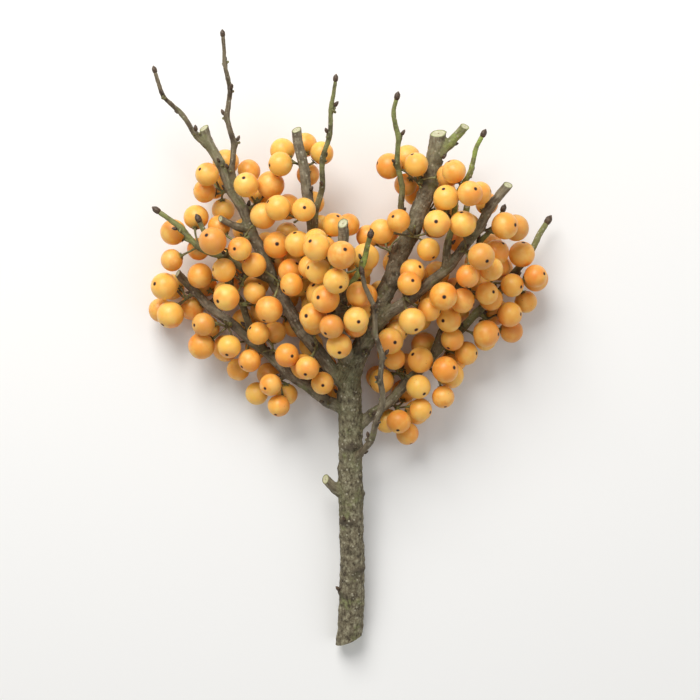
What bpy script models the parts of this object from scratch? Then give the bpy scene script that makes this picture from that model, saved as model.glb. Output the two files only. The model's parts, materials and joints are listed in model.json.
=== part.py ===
"""Winterberry holly sprig: one cut woody branch with its side shoots, and bunches of round orange
berries on short stalks in its axils. It lies on a surface as cut, with no leaves. Metres, +Z up, and +Y
runs from the butt of the branch towards its tips. Headings are degrees from +Y towards +X, climbs are
degrees above level."""

import math
import random
from collections import namedtuple

import bmesh
import bpy
import numpy as np
from mathutils import Matrix, Vector

SEED = 7
MM = 0.001

# Berries and their stalks, in metres
BERRY_RADIUS = (0.0037, 0.0046)
STALK_LENGTH = (0.0016, 0.0064)
STALK_RADIUS = 0.00045
STALK_SIDES = 3
STALK_SUNK = 0.0014
KNOB_RADIUS = 0.0009
BERRIES_IN_BUNCH = (3, 4, 5)
BERRIES_BUILT = (3, 3, 2, 3)
STALK_LEAN = (20, 55)
STALK_TURN = 31
FAN_SCATTER = 12
POLE_SWAY = 0.30

# Clear space between neighbours: what the settling aims for, and the least that is kept
AIM_GAP = 0.00050
LEAST_GAP = 0.00034
SETTLE_ROUNDS = 500
BERRY_PUSH = 0.5
OPEN_PUSH = 0.3
STALK_PUSH = 0.6
STALK_SAMPLES = 6

# The wood, and the stems that no berry lies on top of
OPEN_STEMS = ("trunk", "leader", "high_left_arm", "low_left_arm", "high_right_arm")
OPEN_SHARE = 0.5
RING_STEP = 0.0042
RINGS_PER_AXIL = 2
AXIL_TURN = 140
AXIL_SCATTER = 18
KNOT_HEIGHT = 0.0006
ARM_ZIGZAG = 4.0
TWIG_ZIGZAG = 8.0
WANDER = 5.0
WANDER_WAVES = 1.3
TRUNK_WANDER = 0.4
CLIMB_WANDER = 0.5
TWIG_RADIUS = 0.0016
SIDES_ABOVE = ((0.0040, 9), (0.0030, 7), (0.0015, 6), (0, 4))
BUTT_SLANT = 0.55
TIP_LIFT = 0.50
TIP_SLANT = 0.25
BUD_RINGS = ((0.9, 1.35), (2.2, 0.95), (3.4, 0.25))
ROOT_FLARE = 0.35
ROOT_FLARE_LENGTH = 0.0035
FORK_TAPER = 0.6

Stem = namedtuple("Stem", "name parent at heading climb length radius tip berried")


def stem(name, parent, at, heading, climb, length, radius, tip, berried=None):
    """A stem from millimetres and degrees. It leaves its parent's line at a distance from the root.
    Heading, climb and radius have a value at its root and at its tip. Berried is the stretch with berries."""
    radius = (radius[0] * MM, radius[1] * MM)
    berried = berried and (berried[0] * MM, berried[1] * MM)
    return Stem(name, parent, at * MM, heading, climb, length * MM, radius, tip, berried)


STEMS = (
    stem("trunk", None, 0, (3, -4), (8, 6), 98, (4.4, 3.8), "fork"),
    stem("leader", "trunk", 93, (32, 10), (8, 3), 84, (3.3, 2.6), "cut", (10, 72)),
    stem("middle_arm", "trunk", 95, (-6, 2), (38, 24), 55, (2.0, 1.7), "cut", (10, 45)),
    stem("high_left_arm", "trunk", 88, (-38, -18), (2, 4), 98, (2.3, 1.6), "cut", (10, 84)),
    stem("low_left_arm", "trunk", 80, (-62, -40), (-5, -3), 74, (2.0, 1.4), "cut", (10, 66)),
    stem("low_right_arm", "trunk", 73, (56, 32), (-4, -2), 96, (1.9, 1.0), "bud", (10, 77)),
    stem("inner_arm", "trunk", 97, (-18, -4), (12, 8), 78, (2.1, 1.6), "cut", (10, 66)),
    stem("high_right_arm", "leader", 16, (54, 32), (14, 8), 66, (2.0, 1.5), "cut", (9, 56)),
    stem("leader_stub", "leader", 75, (46, 40), (8, 8), 15, (1.6, 1.5), "cut"),
    stem("old_stub", "trunk", 50, (-52, -48), (12, 14), 11, (1.8, 1.6), "cut"),
    stem("right_stub", "high_right_arm", 46, (-14, -8), (24, 24), 11, (1.3, 1.1), "cut"),
    stem("left_stub", "high_left_arm", 62, (-70, -64), (24, 20), 11, (1.3, 1.1), "cut"),
    stem("leader_twig", "leader", 50, (-16, 4), (24, 20), 47, (1.1, 0.8), "bud"),
    stem("middle_twig", "middle_arm", 24, (30, 18), (20, 24), 27, (1.1, 0.9), "bud"),
    stem("left_twig", "high_left_arm", 44, (-70, -46), (16, 4), 44, (1.3, 0.9), "bud", (8, 34)),
    stem("tall_twig", "high_left_arm", 74, (4, -10), (18, 8), 52, (1.1, 0.7), "bud"),
    stem("tip_twig", "high_left_arm", 90, (-46, -28), (10, 4), 32, (1.0, 0.7), "bud"),
    stem("low_left_twig", "low_left_arm", 36, (-18, -30), (16, 6), 48, (1.3, 0.9), "bud", (8, 36)),
    stem("right_twig", "low_right_arm", 38, (18, 30), (16, 6), 54, (1.3, 0.8), "bud", (8, 38)),
    stem("high_right_twig", "high_right_arm", 32, (8, 22), (22, 8), 46, (1.2, 0.8), "bud", (8, 32)),
    stem("inner_twig", "inner_arm", 44, (16, 2), (28, 14), 52, (1.1, 0.7), "bud"),
    stem("front_twig", "trunk", 60, (34, -26), (40, 10), 78, (1.2, 0.8), "bud"),
)

Shoot = namedtuple("Shoot", "stem points radii across knots")
Knot = namedtuple("Knot", "ring outward berried")
Bunch = namedtuple("Bunch", "name knob berries")
Berry = namedtuple("Berry", "centre radius pole foot")


def direction(heading, climb):
    """The unit vector of a heading and a climb in degrees."""
    h, c = math.radians(heading), math.radians(climb)
    return np.array([math.sin(h) * math.cos(c), math.cos(h) * math.cos(c), math.sin(c)])


def unit(v):
    return v / np.linalg.norm(v)


def between(pair, share):
    return pair[0] + (pair[1] - pair[0]) * share


def turned(v, axis, degrees):
    """v turned about the unit axis."""
    a = math.radians(degrees)
    return v * math.cos(a) + np.cross(axis, v) * math.sin(a) + axis * (axis @ v) * (1 - math.cos(a))


def grow(stem, start, rng):
    """A stem's centre line as rings RING_STEP apart, with a radius and a level sideways vector at each, and
    its knots: the swollen places, alternating round the stem, where leaves and berries grew."""
    count = max(2, round(stem.length / RING_STEP))
    step = stem.length / count
    thin = stem.radius[0] < TWIG_RADIUS
    zigzag = TWIG_ZIGZAG if thin else ARM_ZIGZAG
    phase = rng.uniform(0, 2 * math.pi)
    points = [np.array(start, float)]
    for i in range(count):
        share = (i + 0.5) / count
        kink = zigzag * (1 if (i // RINGS_PER_AXIL) % 2 else -1)
        sway = WANDER * math.sin(phase + 2 * math.pi * WANDER_WAVES * share)
        heading = between(stem.heading, share) + (kink + sway if stem.parent else TRUNK_WANDER * sway)
        climb = between(stem.climb, share) + (CLIMB_WANDER * sway if stem.parent else 0)
        points.append(points[-1] + direction(heading, climb) * step)
    points = np.array(points)
    along = np.gradient(points, axis=0)
    along /= np.linalg.norm(along, axis=1)[:, None]
    across = np.array([unit(np.cross(t, (0, 0, 1))) for t in along])
    radii = np.array([between(stem.radius, i / count) for i in range(count + 1)])
    if stem.parent:
        reach = np.arange(count + 1) * step / ROOT_FLARE_LENGTH
        radii = radii * (1 + ROOT_FLARE * np.exp(-reach * reach / 2))
    if stem.tip == "fork":
        radii[-1] *= FORK_TAPER
    knots = []
    azimuth = rng.uniform(0, 360)
    for i in range(RINGS_PER_AXIL, count - 1, RINGS_PER_AXIL):
        berried = bool(stem.berried) and stem.berried[0] <= i * step <= stem.berried[1]
        outward = turned(across[i], along[i], azimuth)
        knots.append(Knot(i, outward, berried))
        azimuth += AXIL_TURN + rng.uniform(-AXIL_SCATTER, AXIL_SCATTER)
    return Shoot(stem, points, radii, across, knots)


def grow_all(rng):
    """Every shoot of the branch by name, each rooted on its parent's centre line."""
    shoots = {}
    for stem in STEMS:
        if stem.parent is None:
            start = (0, 0, stem.radius[0] * math.cos(math.radians(stem.climb[0])))
        else:
            parent = shoots[stem.parent]
            place = stem.at / parent.stem.length * (len(parent.points) - 1)
            i = min(int(place), len(parent.points) - 2)
            start = between(parent.points[i : i + 2], place - i)
        shoots[stem.name] = grow(stem, start, rng)
    return shoots


def sides_for(radius):
    """More sides on thicker wood."""
    return next(sides for least, sides in SIDES_ABOVE if radius > least)


def outlines(shoot):
    """The corners round each ring of a shoot, the first one straight down. A knot pushes its side out,
    a cut end is slanted, with a tip's face turned up, and a living tip swells into a pointed bud."""
    last = len(shoot.points) - 1
    sides = sides_for(shoot.stem.radius[0])
    cut_ends = {last: (TIP_LIFT, TIP_SLANT)} if shoot.stem.tip == "cut" else {}
    if shoot.stem.parent is None:
        cut_ends[0] = (0, BUTT_SLANT)
    rings = []
    for i, (centre, radius, across) in enumerate(zip(shoot.points, shoot.radii, shoot.across)):
        along = unit(shoot.points[min(i + 1, last)] - shoot.points[max(i - 1, 0)])
        down = np.cross(along, across)
        lift, slant = cut_ends.get(i, (0, 0))
        knots = [knot for knot in shoot.knots if knot.ring == i]
        ring = []
        for k in range(sides):
            angle = 2 * math.pi * k / sides
            out = down * math.cos(angle) + across * math.sin(angle)
            push = sum(KNOT_HEIGHT * max(0, out @ knot.outward) ** 2 for knot in knots)
            shift = radius * (lift * math.cos(angle) + slant * math.sin(angle))
            ring.append(centre + out * (radius + push) + along * shift)
        rings.append(ring)
    if shoot.stem.tip == "bud":
        end, last_ring = shoot.points[last], np.array(rings[last])
        for reach, swell in BUD_RINGS:
            rings.append(end + along * reach * shoot.radii[last] + (last_ring - end) * swell)
    return rings


def hang_berries(shoots, rng):
    """Every berry before settling, the first of each bunch first: its bunch's number and rank in it, the
    knob that it hangs from, its centre, radius and the sway of its far pole. The bunches' names come too."""
    rows = []
    names = []
    for shoot in shoots.values():
        berried = [knot for knot in shoot.knots if knot.berried]
        for number, knot in enumerate(berried):
            i = knot.ring
            along = unit(shoot.points[i + 1] - shoot.points[i - 1])
            side = np.cross(along, knot.outward)
            reach = shoot.radii[i] + KNOT_HEIGHT + LEAST_GAP + KNOB_RADIUS
            knob = shoot.points[i] + knot.outward * reach
            count = rng.choice(BERRIES_IN_BUNCH)
            for rank in range(count):
                lean = math.radians(rng.uniform(*STALK_LEAN))
                turn = STALK_TURN * (rank + 1) * (1 if rank % 2 else -1)
                fan = math.radians(turn + rng.uniform(-FAN_SCATTER, FAN_SCATTER))
                out = knot.outward * math.cos(fan) + side * math.sin(fan)
                stalk = out * math.cos(lean) + along * math.sin(lean)
                radius = rng.uniform(*BERRY_RADIUS)
                sway = np.array([rng.uniform(-1, 1) for _ in range(3)]) * POLE_SWAY
                centre = knob + stalk * (radius + rng.uniform(*STALK_LENGTH))
                rows.append((rank, len(names), knob, centre, radius, sway))
            names.append(f"berries_{shoot.stem.name}_{number + 1}")
    rows.sort(key=lambda row: row[:2])
    rank, bunch, knob, centre, radius, sway = (np.array(column) for column in zip(*rows))
    return names, rank, bunch, knob, centre, radius, sway


def nearest_on(points, start, end):
    """For each point and each line piece, the vector from the piece to the point, and how far along."""
    run = end - start
    share = ((points[:, None] - start) * run).sum(-1) / np.maximum((run * run).sum(-1), 1e-18)
    share = np.clip(share, 0, 1)
    return points[:, None] - (start + share[..., None] * run), share


def wood_pieces(shoots):
    """Both ends of every straight piece of the wood, and its radius at each with the height of a knot."""
    shoots = shoots.values()
    starts = np.concatenate([shoot.points[:-1] for shoot in shoots])
    ends = np.concatenate([shoot.points[1:] for shoot in shoots])
    start_radii = np.concatenate([shoot.radii[:-1] for shoot in shoots]) + KNOT_HEIGHT
    end_radii = np.concatenate([shoot.radii[1:] for shoot in shoots]) + KNOT_HEIGHT
    return starts, ends, start_radii, end_radii


def poles_of(knob, centre, sway):
    """The unit vector from each berry's stalk end to its far pole."""
    poles = centre - knob
    poles = poles / np.linalg.norm(poles, axis=1)[:, None] + sway
    return poles / np.linalg.norm(poles, axis=1)[:, None]


def off_the_top(centre, radius, wood):
    """The level shift that takes each berry off the upper side of this wood."""
    start, end, start_radius, end_radius = wood
    flat = np.array((1, 1, 0))
    away, share = nearest_on(centre * flat, start * flat, end * flat)
    thick = start_radius + (end_radius - start_radius) * share
    above = centre[:, 2, None] > start[:, 2] + (end[:, 2] - start[:, 2]) * share
    distance = np.maximum(np.linalg.norm(away, axis=-1), 1e-9)
    bite = (radius[:, None] + OPEN_SHARE * thick - distance) * above
    own, worst = np.arange(len(radius)), bite.argmax(1)
    return away[own, worst] * (np.maximum(bite[own, worst], 0) / distance[own, worst])[:, None]


def push_apart(gap, away):
    """The shift of each point for gaps that are too small, away from what it is too near."""
    distance = np.maximum(np.linalg.norm(away, axis=-1), 1e-9)
    bite = np.maximum(gap - distance, 0) / distance
    return (bite[..., None] * away).sum(1)


def settle(knob, centre, radius, sway, wood, open_wood):
    """Moves the berries apart, off the wood, off the open arms' upper side, off each other's stalks and up
    onto the surface, on stalks that stay within their lengths."""
    start, end, start_radius, end_radius = wood
    apart = radius[:, None] + radius + AIM_GAP
    own = np.arange(len(radius))
    apart[own, own] = 0
    for _ in range(SETTLE_ROUNDS):
        centre = centre + BERRY_PUSH * push_apart(apart, centre[:, None] - centre)
        away, share = nearest_on(centre, start, end)
        thick = start_radius + (end_radius - start_radius) * share
        gap = radius[:, None] + thick + AIM_GAP - np.linalg.norm(away, axis=-1)
        worst = gap.argmax(1)
        out = away[own, worst] / np.linalg.norm(away[own, worst], axis=-1)[:, None]
        centre = centre + out * np.maximum(gap[own, worst], 0)[:, None]
        centre = centre + OPEN_PUSH * off_the_top(centre, radius, open_wood)
        foot = centre - poles_of(knob, centre, sway) * radius[:, None]
        away, share = nearest_on(centre, knob, foot)
        gap = radius[:, None] + between((KNOB_RADIUS, STALK_RADIUS), share) + AIM_GAP
        gap[own, own] = 0
        centre = centre + STALK_PUSH * push_apart(gap, away)
        stalk = centre - knob
        length = np.linalg.norm(stalk, axis=1)
        wanted = np.clip(length, radius + STALK_LENGTH[0], radius + STALK_LENGTH[1])
        centre = knob + stalk * (wanted / length)[:, None]
        centre[:, 2] = np.maximum(centre[:, 2], radius)
    return centre


def has_room(bunch, knob, centre, radius, foot, wood):
    """Which berries keep the least gap to the wood and to each other. Of two that don't, the later goes."""
    start, end, start_radius, end_radius = wood
    stalks = np.stack([between((knob, foot), share) for share in np.linspace(0, 1, STALK_SAMPLES)], 1)
    kept = np.ones(len(radius), bool)
    probes = [(centre, radius)] + [(stalks[:, k], STALK_RADIUS) for k in range(STALK_SAMPLES)]
    for points, thickness in probes:
        away, share = nearest_on(points, start, end)
        thick = start_radius + (end_radius - start_radius) * share - KNOT_HEIGHT
        clear = (np.linalg.norm(away, axis=-1) - thick).min(1) - thickness
        kept &= clear > LEAST_GAP
    away, share = nearest_on(knob, start, end)
    thick = start_radius + (end_radius - start_radius) * share
    kept &= (np.linalg.norm(away, axis=-1) - thick).min(1) > KNOB_RADIUS + 0.5 * LEAST_GAP
    for i in range(len(radius)):
        for j in np.flatnonzero(kept[:i]):
            clear = [np.linalg.norm(centre[i] - centre[j]) - radius[i] - radius[j]]
            clear.append(np.linalg.norm(stalks[j] - centre[i], axis=1).min() - radius[i] - STALK_RADIUS)
            clear.append(np.linalg.norm(stalks[i] - centre[j], axis=1).min() - radius[j] - STALK_RADIUS)
            if bunch[i] != bunch[j]:
                crossing = np.linalg.norm(stalks[i][:, None] - stalks[j], axis=-1).min()
                clear.append(crossing - KNOB_RADIUS - STALK_RADIUS)
            if min(clear) < LEAST_GAP:
                kept[i] = False
                break
    return kept


def lay_out():
    """The whole sprig: its shoots and its bunches, with the middle of its box over the origin."""
    rng = random.Random(SEED)
    shoots = grow_all(rng)
    names, rank, bunch, knob, centre, radius, sway = hang_berries(shoots, rng)
    wood = wood_pieces(shoots)
    open_wood = wood_pieces({name: shoots[name] for name in OPEN_STEMS})
    centre = settle(knob, centre, radius, sway, wood, open_wood)
    pole = poles_of(knob, centre, sway)
    foot = centre - pole * radius[:, None]
    kept = has_room(bunch, knob, centre, radius, foot, wood)
    corners = [ring for shoot in shoots.values() for ring in outlines(shoot)]
    corners += [(centre + side * radius[:, None])[kept] for side in (-1, 1)]
    corners = np.concatenate(corners)
    middle = (corners.min(0) + corners.max(0)) / 2 * (1, 1, 0)
    shoots = {name: shoot._replace(points=shoot.points - middle) for name, shoot in shoots.items()}
    bunches = []
    for number, name in enumerate(names):
        members = [i for i in np.flatnonzero(bunch == number) if kept[i]]
        berries = [Berry(centre[i] - middle, radius[i], pole[i], foot[i] - middle) for i in members]
        if berries:
            bunches.append(Bunch(name, knob[members[0]] - middle, berries))
    return shoots, bunches


def clear_scene():
    for obj in list(bpy.data.objects):
        bpy.data.objects.remove(obj)


def material(name, colour, roughness):
    """A plain Principled surface."""
    made = bpy.data.materials.new(name)
    made.use_nodes = True
    surface = made.node_tree.nodes["Principled BSDF"]
    surface.inputs["Base Color"].default_value = (*colour, 1)
    surface.inputs["Roughness"].default_value = roughness
    surface.inputs["Metallic"].default_value = 0
    return made


def to_object(name, bm, finish, collection=None):
    bmesh.ops.triangulate(bm, faces=bm.faces)
    bmesh.ops.recalc_face_normals(bm, faces=bm.faces)
    mesh = bpy.data.meshes.new(name)
    bm.to_mesh(mesh)
    bm.free()
    mesh.materials.append(finish)
    obj = bpy.data.objects.new(name, mesh)
    (collection or bpy.context.scene.collection).objects.link(obj)
    return obj


def tube(shoot):
    """The closed mesh of one shoot."""
    bm = bmesh.new()
    loops = [[bm.verts.new(point) for point in outline] for outline in outlines(shoot)]
    for low, high in zip(loops, loops[1:]):
        for k in range(len(low)):
            bm.faces.new((low[k - 1], low[k], high[k], high[k - 1]))
    bm.faces.new(loops[0][::-1])
    bm.faces.new(loops[-1])
    return bm


def ball(centre, radius):
    """A berry's solid: sixty triangles whose corners all lie on the sphere, with one straight down."""
    bm = bmesh.new()
    bmesh.ops.create_icosphere(bm, subdivisions=1, radius=radius)
    centres = [f.calc_center_median().normalized() * radius for f in bm.faces]
    for point in centres:
        bm.verts.new(point)
    bmesh.ops.delete(bm, geom=bm.faces[:] + bm.edges[:], context="EDGES_FACES")
    bmesh.ops.convex_hull(bm, input=bm.verts[:])
    bmesh.ops.translate(bm, verts=bm.verts[:], vec=Vector(centre))
    return bm


def rod(start, end, radius, sides):
    """A straight closed stalk."""
    bm = bmesh.new()
    run = Vector(end - start)
    bmesh.ops.create_cone(
        bm, cap_ends=True, segments=sides, radius1=radius, radius2=radius, depth=run.length
    )
    turn = run.to_track_quat("Z", "Y").to_matrix().to_4x4()
    bm.transform(Matrix.Translation(Vector(start) + run / 2) @ turn)
    return bm


def knob_mesh(centre):
    """An eight-sided knob."""
    bm = bmesh.new()
    for axis in range(3):
        for sign in (-1, 1):
            point = Vector(centre)
            point[axis] += sign * KNOB_RADIUS
            bm.verts.new(point)
    bmesh.ops.convex_hull(bm, input=bm.verts[:])
    return bm


def join_into(base, parts):
    """One Boolean union of a whole collection into base, applied."""
    union = base.modifiers.new("grown_together", "BOOLEAN")
    union.operation = "UNION"
    union.operand_type = "COLLECTION"
    union.collection = parts
    union.solver = "EXACT"
    bpy.context.view_layer.update()
    graph = bpy.context.evaluated_depsgraph_get()
    joined = bpy.data.meshes.new_from_object(base.evaluated_get(graph))
    base.modifiers.clear()
    base.data = joined
    for obj in list(parts.objects):
        bpy.data.objects.remove(obj)
    bpy.data.collections.remove(parts)


def working_collection():
    made = bpy.data.collections.new("parts")
    bpy.context.scene.collection.children.link(made)
    return made


def make_wood(shoots, bark):
    """The trunk with every shoot grown out of it, as one solid."""
    parts = working_collection()
    trunk = to_object("woody_branch", tube(shoots["trunk"]), bark)
    for name, shoot in shoots.items():
        if name != "trunk":
            to_object(name, tube(shoot), bark, parts)
    join_into(trunk, parts)


def make_bunch(bunch, most, skin):
    """The first berries of one axil on their stalks, which meet in a small knob just off the bark."""
    parts = working_collection()
    base = to_object(bunch.name, knob_mesh(bunch.knob), skin)
    for berry in bunch.berries[:most]:
        end = berry.foot + berry.pole * STALK_SUNK
        to_object("berry", ball(berry.centre, berry.radius), skin, parts)
        to_object("stalk", rod(bunch.knob, end, STALK_RADIUS, STALK_SIDES), skin, parts)
    join_into(base, parts)


def main():
    clear_scene()
    shoots, bunches = lay_out()
    make_wood(shoots, material("bark", (0.14, 0.11, 0.075), 0.85))
    skin = material("berry_skin", (0.87, 0.38, 0.05), 0.42)
    for number, bunch in enumerate(bunches):
        make_bunch(bunch, BERRIES_BUILT[number % len(BERRIES_BUILT)], skin)
    print(len(bunches), "bunches,", sum(len(b.berries) for b in bunches), "berries")


main()
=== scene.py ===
"""Looks of the winterberry holly sprig: bark, buds and cut ends on one grown-together branch, and
berries with their dimples, calyces and curved stalks. It repeats the rules by which the solids were
laid out. Everything is in metres."""

import json
import math
import random
from collections import namedtuple

import bmesh
import bpy
import numpy as np
from mathutils import Matrix, Quaternion, Vector, noise

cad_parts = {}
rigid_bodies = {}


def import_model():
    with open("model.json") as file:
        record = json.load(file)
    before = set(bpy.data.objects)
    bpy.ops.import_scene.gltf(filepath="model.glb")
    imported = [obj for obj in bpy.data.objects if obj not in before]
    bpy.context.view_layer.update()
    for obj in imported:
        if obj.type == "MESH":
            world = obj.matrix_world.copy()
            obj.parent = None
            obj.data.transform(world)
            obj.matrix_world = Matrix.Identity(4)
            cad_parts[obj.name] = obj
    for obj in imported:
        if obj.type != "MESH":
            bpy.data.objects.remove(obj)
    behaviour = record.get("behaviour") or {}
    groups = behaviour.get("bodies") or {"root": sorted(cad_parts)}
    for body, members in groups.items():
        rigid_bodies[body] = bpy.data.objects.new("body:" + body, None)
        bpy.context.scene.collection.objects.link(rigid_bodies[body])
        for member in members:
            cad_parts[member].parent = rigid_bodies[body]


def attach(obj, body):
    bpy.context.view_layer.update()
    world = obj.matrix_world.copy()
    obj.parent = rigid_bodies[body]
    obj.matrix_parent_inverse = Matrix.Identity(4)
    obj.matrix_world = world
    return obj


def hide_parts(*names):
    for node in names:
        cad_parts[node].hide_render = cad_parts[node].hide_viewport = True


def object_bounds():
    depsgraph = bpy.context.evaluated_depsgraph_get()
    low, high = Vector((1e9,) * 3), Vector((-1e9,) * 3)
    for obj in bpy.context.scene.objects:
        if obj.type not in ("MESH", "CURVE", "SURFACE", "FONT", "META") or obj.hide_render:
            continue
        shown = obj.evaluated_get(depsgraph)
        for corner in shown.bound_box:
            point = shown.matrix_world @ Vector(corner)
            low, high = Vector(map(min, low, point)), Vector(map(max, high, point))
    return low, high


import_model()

CAD_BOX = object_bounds()
BODY = "root"

SEED = 7
MM = 0.001

# Floors for lengths that something is divided by, and a length beyond everything
SMALL = 1e-9
SMALL_SQUARE = 1e-18
FAR = 1.0

# Berries and their stalks, in metres
BERRY_RADIUS = (0.0037, 0.0046)
STALK_LENGTH = (0.0016, 0.0064)
STALK_RADIUS = 0.00045
KNOB_RADIUS = 0.0009
BERRIES_IN_BUNCH = (3, 4, 5)
STALK_LEAN = (20, 55)
STALK_TURN = 31
FAN_SCATTER = 12
POLE_SWAY = 0.30

# Clear space between neighbours: what the settling aims for, and the least that is kept
AIM_GAP = 0.00050
LEAST_GAP = 0.00034
LEAST_KNOB_GAP = 0.5 * LEAST_GAP
SETTLE_ROUNDS = 500
BERRY_PUSH = 0.5
OPEN_PUSH = 0.3
STALK_PUSH = 0.6
STALK_SAMPLES = 6

# The wood, and the stems that no berry lies on top of
OPEN_STEMS = ("trunk", "leader", "high_left_arm", "low_left_arm", "high_right_arm")
OPEN_SHARE = 0.5
RING_STEP = 0.0042
RINGS_PER_AXIL = 2
AXIL_TURN = 140
AXIL_SCATTER = 18
KNOT_HEIGHT = 0.0006
ARM_ZIGZAG = 4.0
TWIG_ZIGZAG = 8.0
WANDER = 5.0
WANDER_WAVES = 1.3
TRUNK_WANDER = 0.4
CLIMB_WANDER = 0.5
TWIG_RADIUS = 0.0016
SIDES_ABOVE = ((0.0040, 9), (0.0030, 7), (0.0015, 6), (0, 4))
BUTT_SLANT = 0.55
TIP_LIFT = 0.50
TIP_SLANT = 0.25
BUD_RINGS = ((0.9, 1.35), (2.2, 0.95), (3.4, 0.25))
ROOT_FLARE = 0.35
ROOT_FLARE_LENGTH = 0.0035
FORK_TAPER = 0.6

Stem = namedtuple("Stem", "name parent at heading climb length radius tip berried")


def stem(name, parent, at, heading, climb, length, radius, tip, berried=None):
    """A stem from millimetres and degrees. It leaves its parent's line at a distance from the root.
    Heading, climb and radius have a value at its root and at its tip. Berried is the stretch with
    berries."""
    radius = (radius[0] * MM, radius[1] * MM)
    berried = berried and (berried[0] * MM, berried[1] * MM)
    return Stem(name, parent, at * MM, heading, climb, length * MM, radius, tip, berried)


STEMS = (
    stem("trunk", None, 0, (3, -4), (8, 6), 98, (4.4, 3.8), "fork"),
    stem("leader", "trunk", 93, (32, 10), (8, 3), 84, (3.3, 2.6), "cut", (10, 72)),
    stem("middle_arm", "trunk", 95, (-6, 2), (38, 24), 55, (2.0, 1.7), "cut", (10, 45)),
    stem("high_left_arm", "trunk", 88, (-38, -18), (2, 4), 98, (2.3, 1.6), "cut", (10, 84)),
    stem("low_left_arm", "trunk", 80, (-62, -40), (-5, -3), 74, (2.0, 1.4), "cut", (10, 66)),
    stem("low_right_arm", "trunk", 73, (56, 32), (-4, -2), 96, (1.9, 1.0), "bud", (10, 77)),
    stem("inner_arm", "trunk", 97, (-18, -4), (12, 8), 78, (2.1, 1.6), "cut", (10, 66)),
    stem("high_right_arm", "leader", 16, (54, 32), (14, 8), 66, (2.0, 1.5), "cut", (9, 56)),
    stem("leader_stub", "leader", 75, (46, 40), (8, 8), 15, (1.6, 1.5), "cut"),
    stem("old_stub", "trunk", 50, (-52, -48), (12, 14), 11, (1.8, 1.6), "cut"),
    stem("right_stub", "high_right_arm", 46, (-14, -8), (24, 24), 11, (1.3, 1.1), "cut"),
    stem("left_stub", "high_left_arm", 62, (-70, -64), (24, 20), 11, (1.3, 1.1), "cut"),
    stem("leader_twig", "leader", 50, (-16, 4), (24, 20), 47, (1.1, 0.8), "bud"),
    stem("middle_twig", "middle_arm", 24, (30, 18), (20, 24), 27, (1.1, 0.9), "bud"),
    stem("left_twig", "high_left_arm", 44, (-70, -46), (16, 4), 44, (1.3, 0.9), "bud", (8, 34)),
    stem("tall_twig", "high_left_arm", 74, (4, -10), (18, 8), 52, (1.1, 0.7), "bud"),
    stem("tip_twig", "high_left_arm", 90, (-46, -28), (10, 4), 32, (1.0, 0.7), "bud"),
    stem("low_left_twig", "low_left_arm", 36, (-18, -30), (16, 6), 48, (1.3, 0.9), "bud", (8, 36)),
    stem("right_twig", "low_right_arm", 38, (18, 30), (16, 6), 54, (1.3, 0.8), "bud", (8, 38)),
    stem("high_right_twig", "high_right_arm", 32, (8, 22), (22, 8), 46, (1.2, 0.8), "bud", (8, 32)),
    stem("inner_twig", "inner_arm", 44, (16, 2), (28, 14), 52, (1.1, 0.7), "bud"),
    stem("front_twig", "trunk", 60, (34, -26), (40, 10), 78, (1.2, 0.8), "bud"),
)

Shoot = namedtuple("Shoot", "stem points radii across knots")
Knot = namedtuple("Knot", "ring outward berried")
Bunch = namedtuple("Bunch", "name stem root knob berries")
Berry = namedtuple("Berry", "centre radius pole foot")


def direction(heading, climb):
    """The unit vector of a heading and a climb in degrees."""
    h, c = math.radians(heading), math.radians(climb)
    return np.array([math.sin(h) * math.cos(c), math.cos(h) * math.cos(c), math.sin(c)])


def unit(v):
    return v / np.linalg.norm(v)


def lengths(vectors):
    return np.linalg.norm(vectors, axis=-1)


def tangents(points):
    """The unit vector along a line of points at each of them."""
    along = np.gradient(points, axis=0)
    return along / lengths(along)[:, None]


def between(pair, share):
    return pair[0] + (pair[1] - pair[0]) * share


def turned(v, axis, degrees):
    """v turned about the unit axis."""
    a = math.radians(degrees)
    return v * math.cos(a) + np.cross(axis, v) * math.sin(a) + axis * (axis @ v) * (1 - math.cos(a))


def grow(stem, start, rng):
    """A stem's centre line as rings RING_STEP apart, with a radius and a level sideways vector at each,
    and its knots: the swollen places, alternating round the stem, where leaves and berries grew."""
    count = max(2, round(stem.length / RING_STEP))
    step = stem.length / count
    thin = stem.radius[0] < TWIG_RADIUS
    zigzag = TWIG_ZIGZAG if thin else ARM_ZIGZAG
    phase = rng.uniform(0, 2 * math.pi)
    points = [np.array(start, float)]
    for i in range(count):
        share = (i + 0.5) / count
        kink = zigzag * (1 if (i // RINGS_PER_AXIL) % 2 else -1)
        sway = WANDER * math.sin(phase + 2 * math.pi * WANDER_WAVES * share)
        heading = between(stem.heading, share) + (kink + sway if stem.parent else TRUNK_WANDER * sway)
        climb = between(stem.climb, share) + (CLIMB_WANDER * sway if stem.parent else 0)
        points.append(points[-1] + direction(heading, climb) * step)
    points = np.array(points)
    along = tangents(points)
    across = np.array([unit(np.cross(t, (0, 0, 1))) for t in along])
    radii = np.array([between(stem.radius, i / count) for i in range(count + 1)])
    if stem.parent:
        reach = np.arange(count + 1) * step / ROOT_FLARE_LENGTH
        radii = radii * (1 + ROOT_FLARE * np.exp(-reach * reach / 2))
    if stem.tip == "fork":
        radii[-1] *= FORK_TAPER
    knots = []
    azimuth = rng.uniform(0, 360)
    for i in range(RINGS_PER_AXIL, count - 1, RINGS_PER_AXIL):
        berried = bool(stem.berried) and stem.berried[0] <= i * step <= stem.berried[1]
        outward = turned(across[i], along[i], azimuth)
        knots.append(Knot(i, outward, berried))
        azimuth += AXIL_TURN + rng.uniform(-AXIL_SCATTER, AXIL_SCATTER)
    return Shoot(stem, points, radii, across, knots)


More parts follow.
